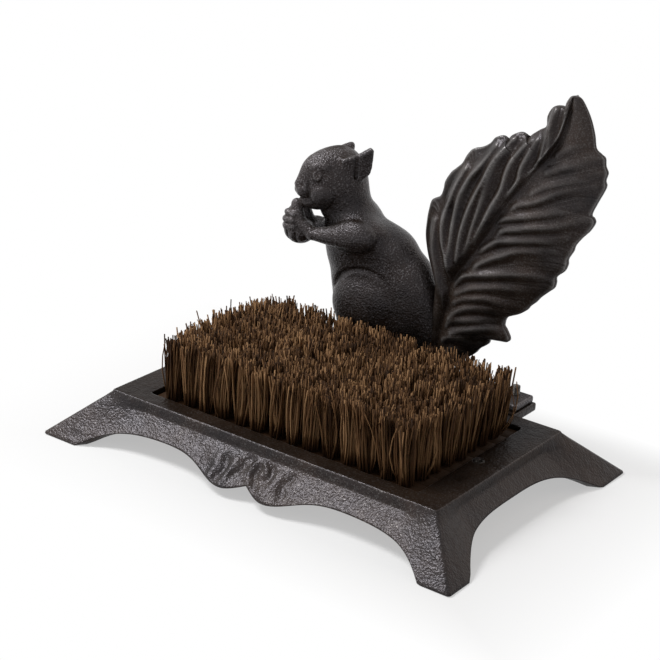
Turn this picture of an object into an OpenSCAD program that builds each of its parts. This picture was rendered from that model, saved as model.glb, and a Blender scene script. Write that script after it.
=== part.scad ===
// Boot brush: a cast iron tray on four splayed legs, a coir brush, and a squirrel on a base plate.
// X runs along the front edge, Y to the rear, Z up. The origin is on the floor under the tray's centre.

/* [Tray] */
// Length of the rim from left to right
rim_length = 260; // [246:2:290]
// Width of the rim from front to rear
rim_width = 150; // [140:2:170]
// Height of the rim's top above the floor
rim_height = 32; // [30:1:40]
// How far each foot stands outside the rim
leg_splay = 32; // [26:1:36]
// Thickness of the casting
wall = 6; // [5:0.5:7]
// Width of the rim at the two ends of the opening
end_band = 23; // [22:1:26]
// Width of the rim along the front and the rear of the opening
side_band = 14; // [12:1:16]
// Height of the arches between the legs
arch_height = 15; // [11:0.5:18]

/* [Brush] */
// Length of the bristles above their backing
bristle_length = 42; // [30:1:55]
// Tufts in one row
tufts = 14; // [12:1:14]
// Thickness of the wooden board under the rim
board_thickness = 12; // [8:1:14]

/* [Figure] */
// Height of the tail's tip above the base plate
figure_height = 212; // [190:1:220]
// Distance from the squirrel's toes to the axis of the screw in front of them
toe_gap = 6; // [5:0.5:9]
// Distance from a screw's axis to the end of the base plate
plate_end = 11; // [9:1:14]
// Depth of the base plate
plate_depth = 24; // [22:1:26]
// Thickness of the base plate
plate_thickness = 5; // [4:0.5:7]

/* [Screws] */
// Diameter of the screws that hold the figure
figure_screw = 6; // [5:0.5:6]
// How far the figure's screws stand out of the base plate
screw_tip = 6; // [2:1:10]
// Diameter of the wood screws that hold the brush
brush_screw = 4; // [3:0.5:4.5]

/* [Hidden] */

$fn = 48;
iron = [0.24, 0.22, 0.20];
tail_iron = [0.30, 0.28, 0.26];
steel = [0.55, 0.55, 0.56];
wood = [0.55, 0.40, 0.25];
coir = [0.50, 0.36, 0.22];
cut = 1;

// The skirt: an upright edge under the rim, then a hollow flare out to the feet
upright_edge = 5;
skirt_top = rim_height - upright_edge;
flare_power = 1.2;
skirt_steps = 8;
skirt_inset = 4.5;
skirt_rise = 3;
rim_under = rim_height - wall;

// Straight ridges that fill out the flare at the four legs
ridge_drop = 1.7;
ridge_width = 16;
foot_width = 20;
foot_edge = 1.5;

// The opening for the brush
opening_x = rim_length - 2 * end_band;
opening_y = rim_width - 2 * side_band;

// The arches, not quite in the middle, and the two lobes that meet in a cusp at the front
front_shift = 3;
side_shift = 4;
front_past_rim = 7;
side_past_rim = 6;
front_span = rim_length / 2 + front_past_rim;
side_span = rim_width / 2 + side_past_rim;
side_rise = 1.5;
long_power = 7;
side_power = 3.3;
arch_steps = 12;
lobe_centre = 19;
lobe_drop = 8.5;
lobe_width = 27;
curl_radius = 7.5;
curl_bead = 1.8;
curl_start = 150;
curl_sweep = 290;

// The base plate on its two lugs, with its screws clear of the squirrel's toes.
// The figure is drawn for a tail tip 212 above the plate and scaled as a whole.
drawn_height = 212;
figure_scale = figure_height / drawn_height;
toe_reach = 75;
toe_radius = 7;
screw_x = figure_scale * toe_reach + toe_gap;
plate_length = 2 * (screw_x + plate_end);
plate_gap = 2.5;
plate_y = rim_width / 2 + plate_gap + plate_depth / 2;
plate_top = rim_height + plate_thickness;
lug_reach = 21;
lug_ledge = 2;
lug_inner = screw_x - lug_reach;
lug_outer = plate_length / 2 + lug_ledge;
lug_rear = plate_y + plate_depth / 2 + lug_ledge / 2;
lug_overlap = 3;
screw_y = plate_y + plate_depth / 4;
screw_clearance = 0.6;
tapped_clearance = 0.3;
washer_thickness = 1.2;
washer_d = 2 * figure_screw + 0.5;
head_d = 1.75 * figure_screw;
head_height = 4;

// The brush
board_inset = 10;
board_x = rim_length - 2 * board_inset;
board_y = rim_width - 2 * board_inset;
rows = 9;
backing_thickness = 3;
backing_clearance = 1.5;
backing_x = opening_x - 2 * backing_clearance;
backing_y = opening_y - 2;
slice_pitch = backing_y / rows;
tuft_pitch = backing_x / tufts;
most_strands = 4;
strand_root = 1.2;
strand_tip = 2;
root_spread = 2.3;
tip_spread = 3.4;
shortest_share = 0.93;
brush_splay = 0.01;
brush_screw_inset = 5;
brush_screw_x = opening_x / 2 + brush_screw_inset;
board_under_tip = 3;
brush_screw_length = wall + board_thickness - board_under_tip;
brush_head_d = 2 * brush_screw;
brush_head_height = brush_screw / 2;
brush_hole_clearance = 0.4;

// Body, each entry a centre, its three radii and the turn towards the front
pelvis = [[-19, -3.5, 31], [41, 18.5, 34], 6];
waist = [[-29, -4, 67], [37.5, 19, 24], 8];
chest = [[-46, -7.5, 87], [22.5, 17.5, 19.5], 30];
neck = [[-54, -8, 104], [14, 14, 16], 40];
head = [[-63, -13, 125.5], [19.5, 17, 21], 50];
brow = [[-68.5, -19.5, 129], [15.5, 11.5, 14.5], 50];
muzzle = [[-76, -28, 116], [8, 8, 8], 50];
nose = [[-81, -33, 119], [4, 4, 4], 50];
near_cheek = [[-64.5, -24.5, 115], [11, 9, 10.5], 50];
far_cheek = [[-74, -16.5, 115], [11, 9, 10.5], 50];
near_ear_root = [[-47, -14, 136], [9, 6, 9], 70];
near_ear_tip = [[-37, -12, 148], [2.5, 2, 2.5], 70];
far_ear_root = [[-65, 0, 137], [7, 6, 7], 30];
far_ear_tip = [[-63, 1, 144], [2.2, 2, 2.4], 30];
near_shoulder = [[-36, -18, 92], [13, 10, 12], 0];
near_elbow = [[-38, -25, 90], [14.5, 10, 11], 4];
near_wrist = [[-66, -33, 87.5], [5, 5, 4.5], 0];
near_hand = [[-77, -34, 95], [5, 5, 5], 0];
near_fingers = [[-81, -32.5, 105], [4, 4, 4.5], 0];
far_shoulder = [[-50, 5, 94], [12, 10, 12], 0];
far_elbow = [[-63, 1, 80], [10, 9, 9], 20];
far_wrist = [[-80.5, -20, 89], [6, 5.5, 6], 0];
far_hand = [[-84, -23.5, 98.5], [5.5, 5, 7], 0];
nut = [[-81, -30, 86], [11, 9, 9], 0];
near_haunch = [[-28.5, -15, 41], [27, 12.5, 26], 6];
far_haunch = [[-34, 5.5, 41], [24, 10, 24], 6];
near_heel = [[-28, -8, 4], [7, 6, 6], 0];
near_toes = [[toe_radius - toe_reach, -10, 4], [toe_radius, 6, 5], 0];
far_heel = [[-30, 5, 4], [7, 6, 6], 0];
far_toes = [[toe_radius - toe_reach, 4, 4], [toe_radius, 6, 5], 0];

// Limbs, each between two entries
LIMBS = [
  [pelvis, waist], [waist, chest], [chest, neck], [neck, head], [head, brow],
  [brow, muzzle], [muzzle, nose], [head, near_cheek], [head, far_cheek],
  [near_ear_root, near_ear_tip], [far_ear_root, far_ear_tip],
  [near_shoulder, near_elbow], [near_elbow, near_wrist], [near_wrist, near_hand],
  [near_hand, near_fingers], [far_shoulder, far_elbow], [far_elbow, far_wrist],
  [far_wrist, far_hand], [nut, nut], [near_haunch, near_haunch], [far_haunch, far_haunch],
  [near_heel, near_toes], [far_heel, far_toes]
];
limb_fn = 18;

// Tail, from the root to the tip: left edge, midrib and right edge as X and Z
TAIL = [
  [[4, 0], [20, 0], [36, 0]],
  [[12, 21], [22, 21], [50, 22]],
  [[17, 39], [23, 35], [76, 38]],
  [[17, 53], [24, 47], [72, 51]],
  [[13, 69], [26, 61], [88, 65]],
  [[8, 81], [31, 73], [96, 75]],
  [[5, 97], [38, 87], [106, 91]],
  [[6, 115], [45, 101], [113, 106]],
  [[9, 125], [53, 115], [119, 118]],
  [[17, 137], [62, 129], [128, 133]],
  [[28, 153], [72, 144], [128, 141]],
  [[40, 164], [81, 157], [132, 157]],
  [[56, 175], [90, 169], [134, 167]],
  [[70, 181], [98, 178], [131, 177]],
  [[88, 192], [105, 189], [124, 185]],
  [[97, 203], [107, 200], [118, 199]],
  [[105, 212], [106, 212], [107, 212]]
];
tail_across = 4;
tail_lobe_steps = 3;
tail_mid = 6;
tail_puff = 14;
tail_edge = 2;
tail_tip_share = 0.35;
tail_taper_from = 11;
tail_groove = 0.2;
tail_scallop = 0.06;

// Locks of the tail: the shares of its length where a ridge leaves the midrib and nears the edge
left_lock_shares = [
  [0.19, 0.34], [0.31, 0.62], [0.35, 0.78], [0.43, 0.84], [0.56, 0.90], [0.69, 0.94]
];
right_lock_shares = [
  [0.08, 0.11], [0.20, 0.25], [0.28, 0.38], [0.38, 0.45],
  [0.45, 0.54], [0.53, 0.62], [0.60, 0.70], [0.70, 0.81]
];
lock_steps = 4;
lock_start_share = 0.1;
lock_stop_share = 0.8;
lock_radius = 5.5;
lock_height = 2.6;
lock_fade_share = 0.55;
lock_fn = 6;

// Pin between the rump and the tail
pin_d = 5;
pin_start = 2;
pin_end = 36;
pin_z = 26;
pin_clearance = 0.2;

function flare(z) = leg_splay * pow(max(0, skirt_top - z) / skirt_top, flare_power);

// One side of the skirt in section, from the floor up to the given height
function skirt_side(half, inset, rise, low, high) = [
  for (i = [0 : skirt_steps])
    let (z = low + (high - low) * i / skirt_steps)
    [half - inset + flare(z + rise), z]
];

function mirrored(points) = [
  for (i = [len(points) - 1 : -1 : 0]) [-points[i][0], points[i][1]]
];

// Solid hill with mitred corners that the tray is cut from
module hill(inset, rise, low, high, lid) {
  reach = 2 * (rim_length + leg_splay);
  ends = skirt_side(rim_length / 2, inset, rise, low, high);
  sides = skirt_side(rim_width / 2, inset, rise, low, high);
  end_top = concat(ends, [[rim_length / 2 - inset, lid]]);
  side_top = concat(sides, [[rim_width / 2 - inset, lid]]);
  intersection() {
    rotate([90, 0, 0])
      linear_extrude(height = reach, center = true)
        polygon(concat(end_top, mirrored(end_top)));
    rotate([90, 0, 90])
      linear_extrude(height = reach, center = true)
        polygon(concat(side_top, mirrored(side_top)));
  }
}

function arch_line(span, height, power) = [
  for (i = [-arch_steps : arch_steps])
    let (t = sin(90 * i / arch_steps))
    [span * t, height * (1 - pow(abs(t), power))]
];

function lobe_depth(x) = lobe_drop * exp(-pow((abs(x) - lobe_centre) / lobe_width, 2));

function front_line() = [
  for (i = [-2 * arch_steps : 2 * arch_steps])
    let (t = sin(45 * i / arch_steps), x = front_shift + front_span * t)
    [x, arch_height * (1 - pow(abs(t), long_power)) - lobe_depth(x)]
];

// Space under one line, cut right through an apron
module under_line(line) {
  reach = rim_width;
  last = len(line) - 1;
  translate([0, -side_band, 0])
    rotate([90, 0, 0])
      linear_extrude(height = reach)
        polygon(concat([[line[0][0], -cut]], line, [[line[last][0], -cut]]));
}

// The rear right leg's corner, from the rim down to the foot
module leg_ridge() {
  rim_corner = [rim_length / 2, rim_width / 2, rim_height - ridge_drop];
  foot_corner = [rim_length / 2 + leg_splay, rim_width / 2 + leg_splay, foot_edge];
  hull() {
    translate(rim_corner - [ridge_width, ridge_width, cut])
      cube([ridge_width, ridge_width, cut]);
    translate(foot_corner - [foot_width, foot_width, foot_edge])
      cube([foot_width, foot_width, foot_edge]);
  }
}

// One raised curl on the slope of the front apron
module curl(side) {
  curl_z = arch_height - 1;
  curl_y = -rim_width / 2 - flare(curl_z);
  slope = atan2(skirt_top, leg_splay);
  translate([side * lobe_centre, curl_y, curl_z])
    rotate([slope, 0, 0])
      mirror([side < 0 ? 1 : 0, 0, 0])
        rotate([0, 0, curl_start])
          rotate_extrude(angle = curl_sweep)
            translate([curl_radius, 0])
              circle(r = curl_bead);
}

module lug(side) {
  translate([side > 0 ? lug_inner : -lug_outer, rim_width / 2 - lug_overlap, rim_under])
    cube([lug_outer - lug_inner, lug_rear - rim_width / 2 + lug_overlap, wall]);
}

module tray_frame() {
  color(iron)
    difference() {
      union() {
        hill(0, 0, 0, skirt_top, rim_height);
        for (x = [0, 1], y = [0, 1])
          mirror([x, 0, 0])
            mirror([0, y, 0])
              leg_ridge();
        lug(1);
        lug(-1);
        curl(1);
        curl(-1);
      }
      hill(skirt_inset, skirt_rise, -cut, skirt_top - skirt_rise, rim_under);
      translate([-opening_x / 2, -opening_y / 2, 0])
        cube([opening_x, opening_y, rim_height + cut]);
      translate([0, -rim_width / 4, 0])
        under_line(front_line());
      rotate([0, 0, 180])
        translate([0, -rim_width / 4, 0])
          under_line(arch_line(front_span, arch_height, long_power));
      for (side = [-1, 1])
        rotate([0, 0, side * 90])
          translate([-side * side_shift, -rim_length / 4, 0])
            under_line(arch_line(side_span, arch_height + side_rise, side_power));
      for (side = [-1, 1]) {
        translate([side * screw_x, screw_y, rim_under - cut])
          cylinder(d = figure_screw + screw_clearance, h = wall + 2 * cut);
        translate([side * brush_screw_x, 0, rim_under - cut])
          cylinder(d = brush_screw + brush_hole_clearance, h = wall + 2 * cut);
        translate([side * brush_screw_x, 0, rim_height - brush_head_height])
          cylinder(d1 = brush_screw, d2 = brush_head_d, h = brush_head_height);
      }
    }
}

module blob(entry) {
  translate(entry[0])
    rotate([0, 0, entry[2]])
      scale(entry[1])
        sphere(r = 1, $fn = limb_fn);
}

module limb(pair) {
  hull() {
    blob(pair[0]);
    blob(pair[1]);
  }
}

module place_figure() {
  translate([0, plate_y, plate_top])
    scale(figure_scale)
      children();
}

module pin(clearance) {
  translate([pin_start - clearance, 0, pin_z])
    rotate([0, 90, 0])
      cylinder(d = pin_d + 2 * clearance, h = pin_end - pin_start + 2 * clearance);
}

module squirrel_figure() {
  color(iron)
    difference() {
      union() {
        place_figure()
          difference() {
            for (pair = LIMBS) limb(pair);
            tail_body();
            pin(pin_clearance);
          }
        translate([-plate_length / 2, plate_y - plate_depth / 2, rim_height])
          cube([plate_length, plate_depth, plate_thickness]);
      }
      translate([-plate_length, 0, 0])
        cube([2 * plate_length, rim_width, rim_height]);
      for (side = [-1, 1])
        translate([side * screw_x, screw_y, rim_height - cut])
          cylinder(d = figure_screw + tapped_clearance, h = plate_thickness + 2 * cut);
    }
}

// Half the tail's thickness: 0 at the midrib, 1 at the edge
function tail_half(share) =
  let (bend = tail_edge - tail_mid - tail_puff)
  tail_mid + tail_puff * share + bend * share * share;

function tail_taper(along) =
  let (late = max(0, along - tail_taper_from) / (len(TAIL) - 1 - tail_taper_from))
  1 - (1 - tail_tip_share) * late;

// A place between two stations, for any distance along the tail
function tail_station(along) =
  let (low = min(floor(along), len(TAIL) - 2), share = along - low)
  [for (side = [0 : 2]) TAIL[low][side] * (1 - share) + TAIL[low + 1][side] * share];

// One ring round the tail: across the front from left to right, then back across the rear.
// Each station is a notch with a groove, and the lobes swell between them.
function tail_ring(along) =
  let (station = tail_station(along), swell = sin(180 * (along - floor(along))))
  let (front = [
    for (k = [-tail_across : tail_across])
      let (share = abs(k) / tail_across, edge = k < 0 ? station[0] : station[2])
      let (out = share * (1 - tail_scallop * (1 - swell) * share))
      let (spot = station[1] * (1 - out) + edge * out)
      let (half = tail_half(share) * (1 - tail_groove * share * (1 - swell)))
      [spot[0], -half * tail_taper(along), spot[1]]
  ])
  concat(front, [for (k = [2 * tail_across : -1 : 0]) [front[k][0], -front[k][1], front[k][2]]]);

module tail_leaf() {
  steps = (len(TAIL) - 1) * tail_lobe_steps;
  rings = [for (i = [0 : steps]) tail_ring(i / tail_lobe_steps)];
  n = len(rings[0]);
  last = steps * n;
  walls = [
    for (i = [0 : steps - 1], k = [0 : n - 1])
      let (a = i * n + k, b = i * n + (k + 1) % n)
      each [[a, a + n, b], [b, a + n, b + n]]
  ];
  caps = [
    for (k = [0 : tail_across * 2 - 1])
      let (a = k, b = k + 1, c = n - 1 - k, d = n - 2 - k)
      each [
        [a, b, c], [b, d, c],
        [last + a, last + c, last + b], [last + b, last + c, last + d]
      ]
  ];
  polyhedron(points = [for (ring = rings) each ring], faces = concat(walls, caps));
}

// One bead of a lock, sunk in the front or the rear of the leaf; it thins out towards the edge
module lock_bead(lock, edge, share, face) {
  along = (len(TAIL) - 1) * (lock[0] + (lock[1] - lock[0]) * share);
  out = lock_start_share + (lock_stop_share - lock_start_share) * share;
  station = tail_station(along);
  spot = station[1] * (1 - out) + station[edge] * out;
  size = tail_taper(along) * (1 - lock_fade_share * share);
  depth = tail_half(out) * tail_taper(along) - (lock_radius - lock_height) * size;
  translate([spot[0], face * depth, spot[1]])
    rotate([90, 0, 0])
      sphere(r = lock_radius * size, $fn = lock_fn);
}

module tail_locks(locks, edge) {
  for (lock = locks, face = [-1, 1], i = [0 : lock_steps - 1])
    hull() {
      lock_bead(lock, edge, i / lock_steps, face);
      lock_bead(lock, edge, (i + 1) / lock_steps, face);
    }
}

module tail_body() {
  tail_leaf();
  tail_locks(left_lock_shares, 0);
  tail_locks(right_lock_shares, 2);
}

module squirrel_tail() {
  color(tail_iron)
    place_figure()
      difference() {
        tail_body();
        pin(pin_clearance);
      }
}

module tail_pin() {
  color(steel)
    place_figure()
      pin(0);
}

module figure_screws() {
  seat = rim_under - washer_thickness;
  color(steel)
    for (side = [-1, 1])
      translate([side * screw_x, screw_y, 0])
        union() {
          translate([0, 0, seat - head_height])
            cylinder(d = head_d, h = head_height);
          translate([0, 0, seat - cut])
            cylinder(d = figure_screw, h = plate_top + screw_tip - seat + cut);
        }
}

module figure_washers() {
  color(steel)
    for (side = [-1, 1])
      translate([side * screw_x, screw_y, rim_under - washer_thickness])
        difference() {
          cylinder(d = washer_d, h = washer_thickness);
          translate([0, 0, -cut])
            cylinder(d = figure_screw + tapped_clearance, h = washer_thickness + 2 * cut);
        }
}

module brush_board() {
  color(wood)
    difference() {
      translate([-board_x / 2, -board_y / 2, rim_under - board_thickness])
        cube([board_x, board_y, board_thickness]);
      for (side = [-1, 1])
        translate([side * brush_screw_x, 0, rim_height - brush_screw_length])
          cylinder(d = brush_screw, h = brush_screw_length);
    }
}

module brush_screws() {
  color(steel)
    for (side = [-1, 1])
      translate([side * brush_screw_x, 0, 0])
        union() {
          translate([0, 0, rim_height - brush_head_height])
            cylinder(d1 = brush_screw, d2 = brush_head_d, h = brush_head_height);
          translate([0, 0, rim_height - brush_screw_length])
            cylinder(d = brush_screw, h = brush_screw_length - brush_head_height / 2);
        }
}

// Four corners of a strand at one height
function strand_ring(centre, half) = [
  for (corner = [[-1, -1], [1, -1], [1, 1], [-1, 1]])
    [centre[0] + corner[0] * half, centre[1] + corner[1] * half, centre[2]]
];

module strand(root, tip) {
  walls = [for (k = [0 : 3]) each [[k, k + 4, (k + 1) % 4], [(k + 1) % 4, k + 4, (k + 1) % 4 + 4]]];
  caps = [[0, 1, 2], [0, 2, 3], [4, 6, 5], [4, 7, 6]];
  polyhedron(
    points = concat(strand_ring(root, strand_root), strand_ring(tip, strand_tip)),
    faces = concat(walls, caps)
  );
}

module bristle_row(row) {
  backing_top = rim_under + backing_thickness;
  place = row - (rows - 1) / 2;
  lengths = rands(shortest_share, 1, tufts * most_strands, row + 1);
  color(coir)
    union() {
      translate([-backing_x / 2, (place - 0.5) * slice_pitch, rim_under])
        cube([backing_x, slice_pitch, backing_thickness]);
      for (t = [0 : tufts - 1], s = [0 : most_strands - 1 - (t + row) % 2]) {
        strands = most_strands - (t + row) % 2;
        turn = 360 * s / strands + (strands == most_strands ? 45 : 90);
        way = [cos(turn), sin(turn)];
        centre = [(t - (tufts - 1) / 2) * tuft_pitch, place * slice_pitch];
        foot = centre + root_spread * way;
        end = centre * (1 + brush_splay) + tip_spread * way;
        tip_z = backing_top + bristle_length * lengths[t * most_strands + s];
        strand([foot[0], foot[1], backing_top - cut], [end[0], end[1], tip_z]);
      }
    }
}

tray_frame();
squirrel_figure();
squirrel_tail();
tail_pin();
figure_screws();
figure_washers();
brush_board();
brush_screws();
for (row = [0 : rows - 1])
  bristle_row(row);
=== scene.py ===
import math

import bmesh
import bpy
import numpy as np
from mathutils import Matrix, Vector


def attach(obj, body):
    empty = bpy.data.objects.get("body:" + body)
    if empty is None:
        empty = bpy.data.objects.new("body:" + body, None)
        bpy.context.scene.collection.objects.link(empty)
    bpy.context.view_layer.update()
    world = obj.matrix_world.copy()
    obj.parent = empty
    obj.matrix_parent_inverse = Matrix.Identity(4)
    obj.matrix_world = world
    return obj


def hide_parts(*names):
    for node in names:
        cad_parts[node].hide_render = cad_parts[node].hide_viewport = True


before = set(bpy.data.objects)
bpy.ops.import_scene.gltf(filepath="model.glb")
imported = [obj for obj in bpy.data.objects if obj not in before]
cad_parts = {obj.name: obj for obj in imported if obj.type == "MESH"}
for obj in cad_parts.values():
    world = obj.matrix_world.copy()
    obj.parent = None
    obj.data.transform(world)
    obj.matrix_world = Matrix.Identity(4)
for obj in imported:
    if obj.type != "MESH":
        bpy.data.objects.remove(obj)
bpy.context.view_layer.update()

# Boot brush of cast iron: tray on splayed legs, coir brush, squirrel with its tail.
# Lengths are millimetres until a mesh is made.
mm = 0.001
print("frame loaded,", len(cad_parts), "nodes")


def addObject(name, data):
    made = bpy.data.objects.new(name, data)
    bpy.context.scene.collection.objects.link(made)
    return made


# Camera
cameraSpec = {
    "place": (0.6158, -0.8808, 0.5245),
    "azimuth": 35.2584,
    "elevation": 22.5306,
    "roll": 3.0955,
    "focal": 1789.955,  # pixels of a 660 pixel image
    "image": 660,
    "sink": 14,  # pixels from the image's middle down to the lens axis
    "sensor": 36, "clip": (0.05, 60),
}


def makeCamera(spec):
    azimuth, elevation, roll = (math.radians(spec[key]) for key in ("azimuth", "elevation", "roll"))
    flat = math.cos(elevation)
    back = Vector((math.sin(azimuth) * flat, -math.cos(azimuth) * flat, math.sin(elevation)))
    right = Vector((0, 0, 1)).cross(back).normalized()
    up = back.cross(right)
    turned = right * math.cos(roll) + up * math.sin(roll)
    up = up * math.cos(roll) - right * math.sin(roll)
    data = bpy.data.cameras.new("viewCamera")
    data.sensor_width = spec["sensor"]
    data.lens = spec["sensor"] * spec["focal"] / spec["image"]
    data.shift_y = spec["sink"] / spec["image"]
    data.clip_start, data.clip_end = spec["clip"]
    holder = addObject("viewCamera", data)
    holder.matrix_world = Matrix.Translation(spec["place"]) @ Matrix((turned, up, back)).transposed().to_4x4()
    bpy.context.scene.camera = holder


makeCamera(cameraSpec)


# Finishes
class Wire:
    # one socket of a material's nodes; sums written on it add Math nodes
    def __init__(self, tree, socket=None):
        self.tree = tree
        self.socket = socket

    def node(self, kind, sockets=None, out=0, **settings):
        made = self.tree.nodes.new("ShaderNode" + kind)
        for key, value in settings.items():
            if key == "stops":
                marks = made.color_ramp.elements
                while len(marks) < len(value):
                    marks.new(1.0)
                for mark, (place, colour) in zip(marks, value):
                    mark.position = place
                    mark.color = (*colour, 1)
            else:
                setattr(made, key, value)
        for key, value in (sockets or {}).items():
            if isinstance(value, Wire):
                self.tree.links.new(value.socket, made.inputs[key])
            else:
                made.inputs[key].default_value = value
        return Wire(self.tree, made.outputs[out] if len(made.outputs) else None)

    def sum(self, operation, first, second):
        return self.node("Math", {0: first, 1: second}, operation=operation)

    def __add__(self, other):
        return self.sum("ADD", self, other)

    def __radd__(self, other):
        return self.sum("ADD", other, self)

    def __sub__(self, other):
        return self.sum("SUBTRACT", self, other)

    def __rsub__(self, other):
        return self.sum("SUBTRACT", other, self)

    def __mul__(self, other):
        return self.sum("MULTIPLY", self, other)

    def __rmul__(self, other):
        return self.sum("MULTIPLY", other, self)


def startFinish(name):
    material = bpy.data.materials.new(name)
    material.use_nodes = True
    material.node_tree.nodes.clear()
    wire = Wire(material.node_tree)
    return material, wire, wire.node("TexCoord", out="Object")


def closeFinish(wire, sockets):
    wire.node("OutputMaterial", {"Surface": wire.node("BsdfPrincipled", sockets)})


def mixColour(share, first, second):
    ends = [value if isinstance(value, Wire) else (*value, 1) for value in (first, second)]
    return share.node("Mix", {0: share, 6: ends[0], 7: ends[1]}, 2, data_type="RGBA")


def noise(place, scale, detail=2, rough=0.5):
    return place.node("TexNoise", {"Vector": place, "Scale": scale, "Detail": detail, "Roughness": rough})


def ramp(value, low, high):
    return value.node("MapRange", {"Value": value, "From Min": low, "From Max": high}, clamp=True)


def bump(height, strength, distance):
    return height.node("Bump", {"Strength": strength, "Distance": distance, "Height": height})


def axisSizes(vector, axes):
    # how far a vector reaches along each axis, either way
    reaches = [vector.node("SeparateXYZ", {0: vector}, axis) for axis in axes]
    return [vector.node("Math", {0: reach}, operation="ABSOLUTE") for reach in reaches]


trayIron = {
    "dark": (0.0075, 0.0053, 0.0040),
    "brown": (0.0270, 0.0165, 0.0105),
    "bright": (0.3000, 0.2900, 0.2850),  # tops of the grains, where the black wears off
    # painted shade colour: a matt dark brown diffuse mixed in where shade falls
    "paintedShade": (0.011, 0.0062, 0.0036, 1),
    "roughness": 0.34, "patchScale": 26,
    "grainDepth": 0.0005, "grainScale": 760,  # the sandy skin
    "speckScale": 1100, "specks": 0.62, "speckFrom": 0.55, "speckSpan": 0.08,
    "crest": 0.0, "crestFrom": -0.5, "crestSpan": 0.25,  # polish on ridges, and how far they must face front or back
    # hollowRange sets the pointiness where hollows get painted shade
    "edgeRange": (0.52, 0.6), "crestRange": (0.5, 0.555), "hollowRange": (0.41, 0.49),  # of pointiness
    "topShade": 0.6, "topRange": (0.93, 0.99),  # painted shade on flat tops, matt black
    "smoothShadedSide": 0.85, "sideShade": 0.4,  # fewer grains and painted shade on the right side
    "swellDepth": 0.0008, "swellScale": 150,
    "gloss": 0.32, "sheen": (0.95, 0.90, 0.98, 1),
}
# the figure keeps the tray's painted shade on flat tops, such as its base plate
figureIron = dict(trayIron, brown=(0.0190, 0.0122, 0.0084), bright=(0.310, 0.296, 0.308), roughness=0.30, gloss=0.30,
                  grainDepth=0.0007, grainScale=820, swellDepth=0.0, speckScale=1000,
                  specks=0.6, speckFrom=0.53, speckSpan=0.10, crest=0.25, smoothShadedSide=0.0)
tailIron = dict(trayIron, roughness=0.36, grainDepth=0.00022, swellDepth=0.0, gloss=0.27,
                specks=0.28, speckFrom=0.5, speckSpan=0.14, crest=0.5, crestFrom=0.55, topShade=0.0, smoothShadedSide=0.0)


def ironFinish(name, spec):
    material, wire, place = startFinish(name)
    grain = noise(place, spec["grainScale"], 1)
    speck = noise(place, spec["speckScale"], 1)
    patches = noise(place, spec["patchScale"], 4, 0.62)
    swell = noise(place, spec["swellScale"])
    point = wire.node("NewGeometry", out="Pointiness")
    facing = wire.node("NewGeometry", out="Normal")
    sideways, upward = (wire.node("SeparateXYZ", {0: facing}, axis) for axis in "XZ")
    outward, = axisSizes(facing, "Y")
    tips = ramp(speck * 0.65 + grain * 0.35, spec["speckFrom"], spec["speckFrom"] + spec["speckSpan"])
    edges = ramp(point, *spec["edgeRange"])
    crest = ramp(outward, spec["crestFrom"], spec["crestFrom"] + spec["crestSpan"]) * spec["crest"]
    polish = ramp(point, *spec["crestRange"]) * crest
    # fewer bright grain tips on the right-facing side, painting shade there; patches also thin them at random
    rough = (1 - ramp(sideways, 0.25, 0.6) * spec["smoothShadedSide"]) * ramp(patches, 0.3, 0.6)
    worn = tips * (0.55 + edges * 0.45) * rough * spec["specks"] + polish
    tone = mixColour(ramp(patches, 0.36, 0.66), spec["dark"], spec["brown"])
    # painted shade in hollows, on flat tops and on the right-facing side
    paintedShadeShare = 0.8 - ramp(point, *spec["hollowRange"]) * 0.8
    shadedTop = ramp(upward, *spec["topRange"]) * spec["topShade"]
    shadedSide = ramp(sideways, 0.4, 0.8) * (spec["smoothShadedSide"] * spec["sideShade"])
    paintedShadeShare = wire.sum("MAXIMUM", paintedShadeShare, wire.sum("MAXIMUM", shadedTop, shadedSide))
    iron = wire.node("BsdfPrincipled", {
        "Base Color": mixColour(worn, tone, spec["bright"]),
        "Metallic": worn,
        "Roughness": spec["roughness"] + (patches - 0.5) * 0.3,
        "Specular IOR Level": spec["gloss"],
        "Specular Tint": spec["sheen"],
        "Normal": bump(grain * spec["grainDepth"] + swell * spec["swellDepth"], 1.0, 1.0),
    })
    # the painted shade itself: a matt dark diffuse that replaces the iron by the share above
    paintedShade = wire.node("BsdfDiffuse", {"Color": spec["paintedShade"]})
    wire.node("OutputMaterial", {"Surface": wire.node("MixShader", {0: paintedShadeShare, 1: iron, 2: paintedShade})})
    return material


def steelFinish(name, dark, bright, roughness):
    material, wire, place = startFinish(name)
    stain = noise(place, 160, 4, 0.6)
    closeFinish(wire, {
        "Base Color": mixColour(ramp(stain, 0.35, 0.7), dark, bright),
        "Metallic": 0.85,
        "Roughness": roughness + (stain - 0.5) * 0.3,
        "Normal": bump(noise(place, 1900), 0.25, 0.0003),
    })
    return material


coirTones = [
    (0.0, (0.014, 0.0068, 0.0032)),
    (0.4, (0.050, 0.0235, 0.0098)),
    (0.75, (0.130, 0.0660, 0.0290)),
    (1.0, (0.265, 0.1500, 0.0720)),
]


def coirFinish(name):
    # each strand's tone is in red, and how far along it a point lies in green
    material, wire, place = startFinish(name)
    strand = wire.node("Attribute", out="Color", attribute_name="strand")
    tint, along = (wire.node("SeparateColor", {"Color": strand}, channel) for channel in ("Red", "Green"))
    fleck = noise(place, 1300)
    # painted shade: strands darken to a fifth near the very root and on the backing; above that they are painted
    # lighter towards the root, painted light against their shade among the tufts
    root = 0.2 + ramp(along, 0.02, 0.3) * 0.8
    shade = (tint * 0.95 + 0.56 - along * 0.42 + (fleck - 0.5) * 0.35) * root
    closeFinish(wire, {
        "Base Color": wire.node("ValToRGB", {"Fac": shade}, stops=coirTones),
        "Roughness": 0.6 + (fleck - 0.5) * 0.2,
        "Specular IOR Level": 0.08,
        "Normal": bump(fleck, 0.3, 0.0003),
    })
    return material


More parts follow.
